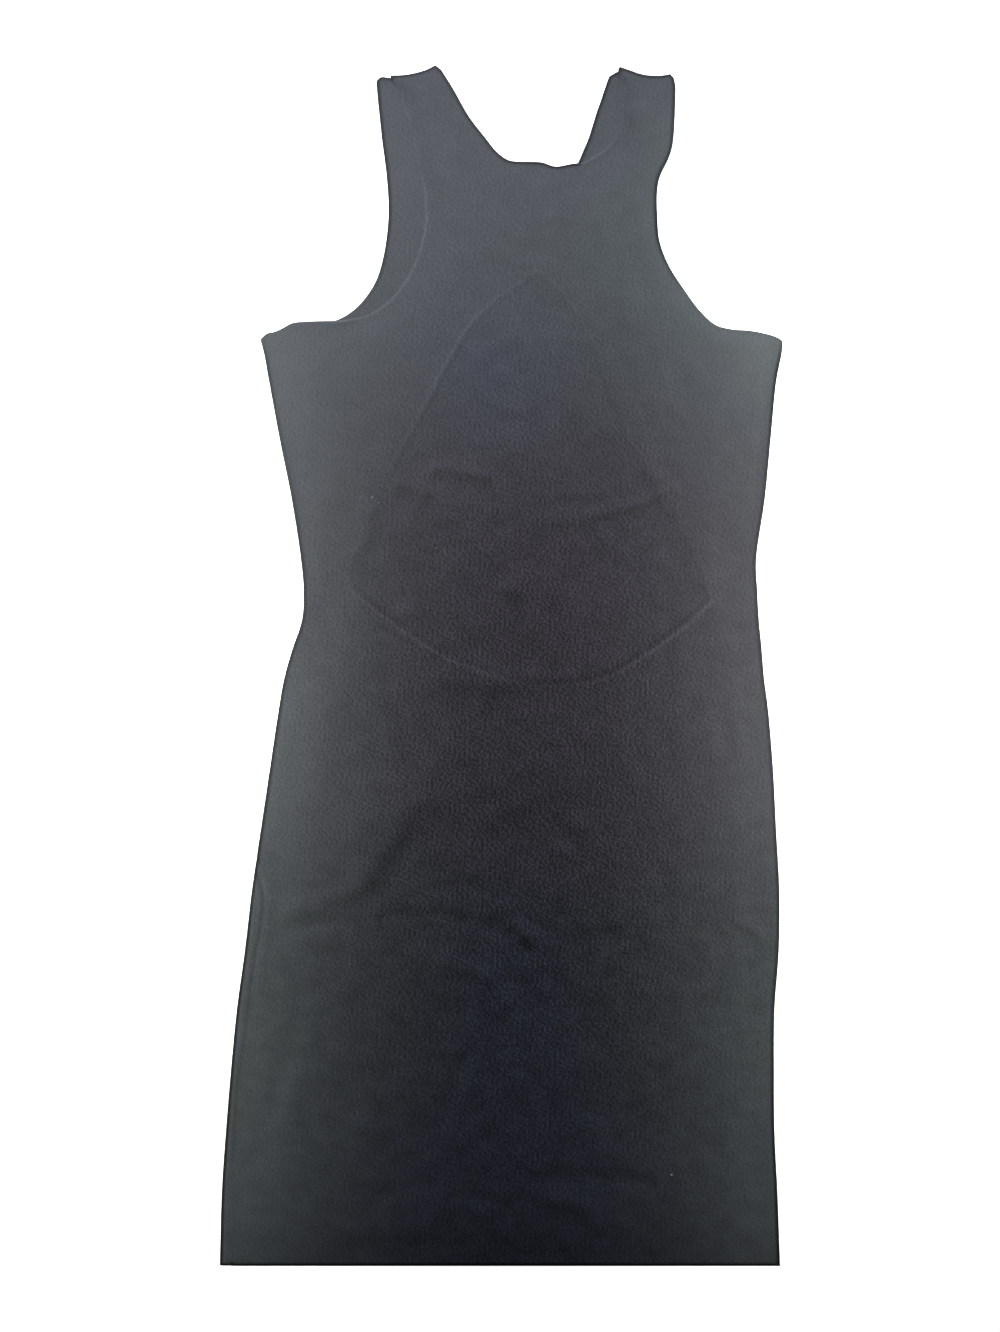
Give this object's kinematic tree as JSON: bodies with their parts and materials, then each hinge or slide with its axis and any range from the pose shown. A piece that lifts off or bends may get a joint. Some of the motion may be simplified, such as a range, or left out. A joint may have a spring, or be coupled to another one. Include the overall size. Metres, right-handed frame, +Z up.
{
  "type": "bodycon dress",
  "caption": "Sleeveless bodycon mini dress in charcoal stretch crepe, lying flat, front up, with scoop neck, cut-in armholes and an open keyhole back.",
  "frame": {"origin": "middle of the underside: the centre of the lying dress's bounding box, on the surface it rests on", "axes": "+Y from the hem to the shoulders, +X towards the right-hand side as seen from above, +Z up, out of the front of the dress"},
  "size_m": [0.4334, 0.924, 0.0078],
  "materials": {
    "front_panel": "matt stretch crepe, charcoal",
    "back_panel": "matt stretch crepe, charcoal"
  },
  "bodies": {
    "root": {"front_panel": "front_panel", "back_panel": "back_panel"}
  },
  "joints": []
}
